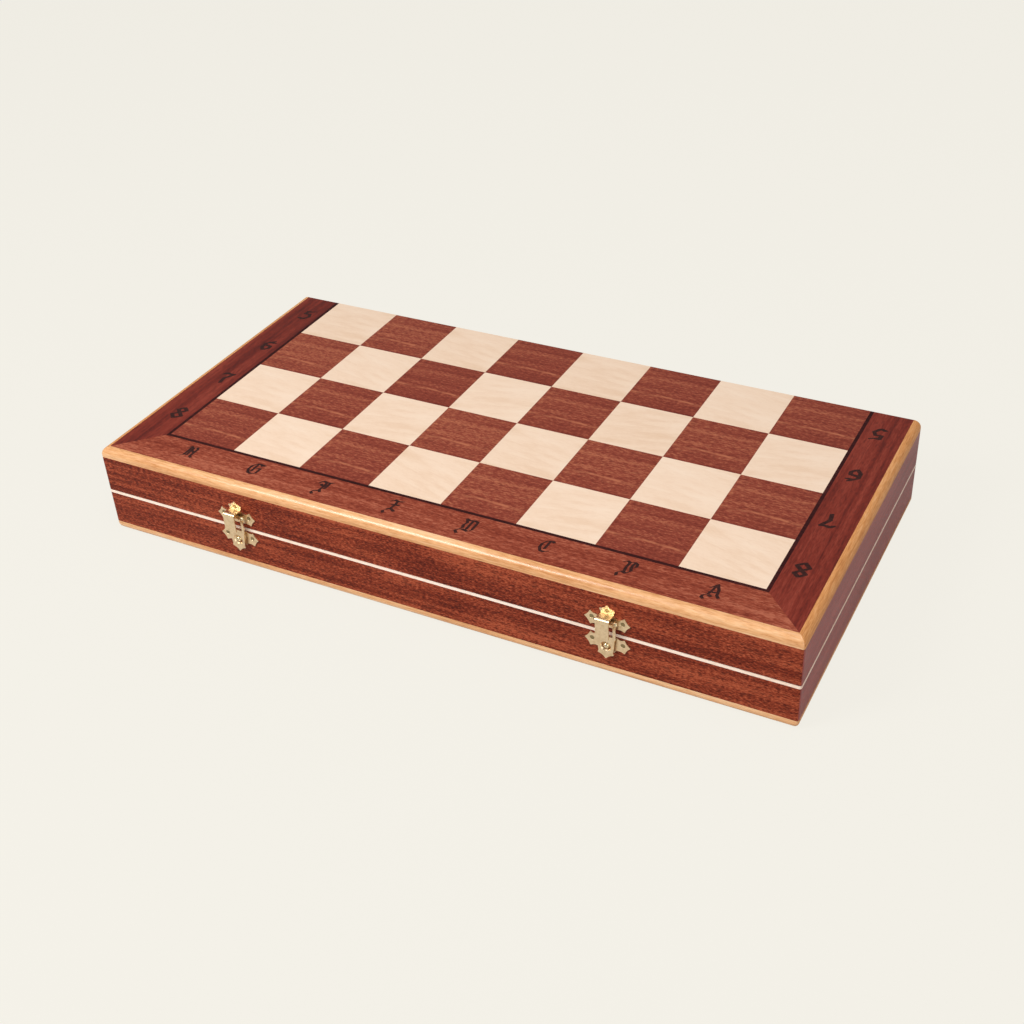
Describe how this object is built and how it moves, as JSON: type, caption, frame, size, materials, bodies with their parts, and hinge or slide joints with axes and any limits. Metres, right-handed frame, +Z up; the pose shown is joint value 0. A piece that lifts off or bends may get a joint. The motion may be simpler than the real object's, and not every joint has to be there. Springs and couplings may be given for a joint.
{
  "type": "chess set",
  "caption": "Folding wooden chess board that shuts to a flat latched case, with a set of turned chessmen lying in flocked trays.",
  "frame": {"origin": "centre of the underside of the shut case, on the face it rests on", "axes": "+Z up, +X along the length to the right as seen from the latches, +Y from the latches to the hinges"},
  "size_m": [0.4826, 0.2506, 0.065],
  "materials": {
    "wall_long": "lacquered sapele, grain along the length",
    "wall_side": "lacquered sapele, grain along the depth",
    "square_dark": "satin lacquered sapele veneer",
    "square_light": "satin lacquered maple veneer",
    "inlay": "dark dyed line veneer",
    "border_front": "satin lacquered sapele veneer, grain along the front",
    "border_side": "satin lacquered sapele veneer, grain along the side",
    "edging_front": "lacquered light hardwood edging",
    "edging_side": "lacquered light hardwood edging",
    "panel": "birch plywood",
    "lipping": "pale maple lipping",
    "insert": "green flock on a moulded tray",
    "latch_brass": "brushed pale brass sheet",
    "hinge_brass": "polished brass",
    "pin_brass": "brass pin",
    "nail_brass": "dulled brass",
    "man_light": "polished hornbeam",
    "man_dark": "polished hornbeam stained dark brown",
    "felt": "green felt"
  },
  "bodies": {
    "lower_leaf": {"hinge_leaves_lower": "hinge_brass", "hinge_pins": "hinge_brass", "hinge_screws_lower": "hinge_brass", "latch_nails_lower": "nail_brass", "latch_plates_lower": "latch_brass", "lower_border_front": "border_front", "lower_border_sides": "border_side", "lower_dark_squares": "square_dark", "lower_edging_front": "edging_front", "lower_edging_sides": "edging_side", "lower_inlay_lines": "inlay", "lower_insert": "insert", "lower_light_squares": "square_light", "lower_panel": "panel", "lower_rim_lipping": "lipping", "lower_rim_lipping_sides": "lipping", "lower_wall_back": "wall_long", "lower_wall_front": "wall_long", "lower_wall_left": "wall_side", "lower_wall_right": "wall_side", "white_bishops": "man_light", "white_felt_pads": "felt", "white_king": "man_light", "white_knights": "man_light", "white_pawns": "man_light", "white_queen": "man_light", "white_rooks": "man_light"},
    "upper_leaf": {"black_bishops": "man_dark", "black_felt_pads": "felt", "black_king": "man_dark", "black_knights": "man_dark", "black_pawns": "man_dark", "black_queen": "man_dark", "black_rooks": "man_dark", "hinge_leaves_upper": "hinge_brass", "hinge_screws_upper": "hinge_brass", "latch_nails_upper": "nail_brass", "latch_plates_upper": "latch_brass", "upper_border_front": "border_front", "upper_border_sides": "border_side", "upper_dark_squares": "square_dark", "upper_edging_front": "edging_front", "upper_edging_sides": "edging_side", "upper_inlay_lines": "inlay", "upper_insert": "insert", "upper_light_squares": "square_light", "upper_panel": "panel", "upper_wall_back": "wall_long", "upper_wall_front": "wall_long", "upper_wall_left": "wall_side", "upper_wall_right": "wall_side"},
    "latch_left": {"latch_flap_left": "latch_brass", "latch_pin_left": "pin_brass"},
    "latch_right": {"latch_flap_right": "latch_brass", "latch_pin_right": "pin_brass"}
  },
  "joints": [
    {"name": "lid_hinge", "type": "hinge", "parent": "lower_leaf", "child": "upper_leaf", "pos_m": [0, 0.12015, 0.0325], "axis": [-1, 0, 0], "range_deg": [0, 180]},
    {"name": "left_latch_hinge", "type": "hinge", "parent": "upper_leaf", "child": "latch_left", "pos_m": [-0.1335, -0.1229, 0.0417], "axis": [-1, 0, 0], "range_deg": [0, 160]},
    {"name": "right_latch_hinge", "type": "hinge", "parent": "upper_leaf", "child": "latch_right", "pos_m": [0.1267, -0.1229, 0.0417], "axis": [-1, 0, 0], "range_deg": [0, 160]}
  ]
}
